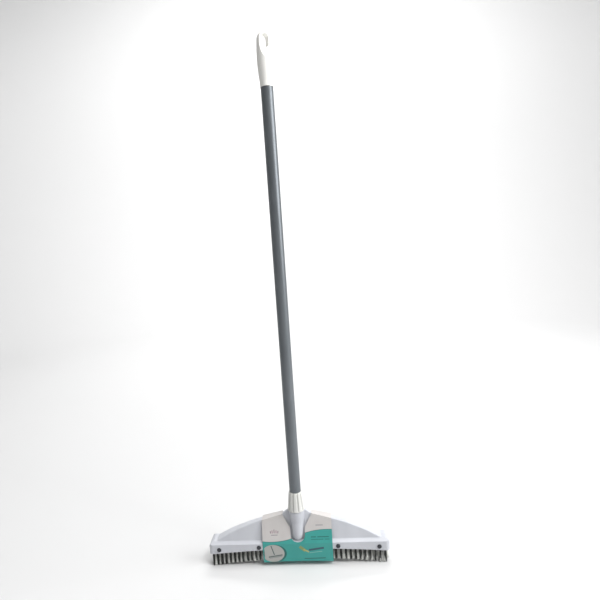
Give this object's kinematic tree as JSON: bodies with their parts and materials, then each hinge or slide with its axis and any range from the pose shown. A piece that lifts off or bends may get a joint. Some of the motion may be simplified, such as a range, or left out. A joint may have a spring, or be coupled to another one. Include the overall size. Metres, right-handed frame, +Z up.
{
  "type": "sweeper",
  "caption": "Long-handled sweeper: a wide hooded brush head with stiff tufts, a ribbed clamping nut, a straight coated tube and an end grip with a hanging hole.",
  "frame": {"origin": "on the floor plane that the outermost tuft tips stand on, at the middle of the head's length and depth", "axes": "+Z up along the handle, X along the head, -Y to the head's front, where the handle socket is"},
  "size_m": [0.4, 0.0482, 1.119],
  "materials": {
    "hood_plastic": "injection-moulded polypropylene, fine satin gloss",
    "block_plastic": "moulded polypropylene",
    "black_bristle": "extruded polyester filament",
    "grey_bristle": "extruded polyester filament",
    "anchor_wire": "flattened steel wire",
    "printed_card": "coated carton board, printed",
    "nut_plastic": "injection-moulded, milky white",
    "collet_plastic": "moulded acetal",
    "tube_steel": "welded thin-wall tube",
    "tube_coating": "extruded PVC coating, satin grey",
    "plug_plastic": "moulded polyethylene",
    "rivet_plastic": "moulded nylon, dark",
    "grip_plastic": "injection-moulded polypropylene, white"
  },
  "bodies": {
    "head": {"head_hood": "hood_plastic", "bristle_block": "block_plastic", "tufts_front": "black_bristle", "tufts_grey_front": "grey_bristle", "tufts_grey_rear": "grey_bristle", "tufts_rear": "black_bristle", "tuft_anchors": "anchor_wire", "rivet_front_1": "rivet_plastic", "rivet_front_2": "rivet_plastic", "rivet_front_3": "rivet_plastic", "rivet_front_4": "rivet_plastic", "rivet_rear_1": "rivet_plastic", "rivet_rear_2": "rivet_plastic", "rivet_rear_3": "rivet_plastic", "rivet_rear_4": "rivet_plastic", "card_sleeve": "printed_card"},
    "collet": {"split_collet": "collet_plastic"},
    "nut": {"collar_nut": "nut_plastic"},
    "plug": {"tube_end_plug": "plug_plastic"},
    "handle": {"steel_tube": "tube_steel", "tube_skin": "tube_coating", "grip": "grip_plastic"}
  },
  "joints": [
    {"name": "nut_turn", "type": "hinge", "parent": "collet", "child": "nut", "pos_m": [0, -0.006, 0.125], "axis": [0, 0, 1], "range_deg": [0, 1080]},
    {"name": "collet_lift", "type": "slide", "parent": "head", "child": "collet", "axis": [0, 0, 1], "range_m": [0, 0.012]},
    {"name": "handle_pull", "type": "slide", "parent": "head", "child": "plug", "axis": [0, 0, 1], "range_m": [0, 0.1]},
    {"name": "handle_turn", "type": "hinge", "parent": "plug", "child": "handle", "pos_m": [0, -0.006, 0.07], "axis": [0, 0, 1], "continuous": true}
  ],
  "couplings": [
    {"joint": "collet_lift", "follows": "nut_turn", "m_per_rad": 0.0006366}
  ]
}
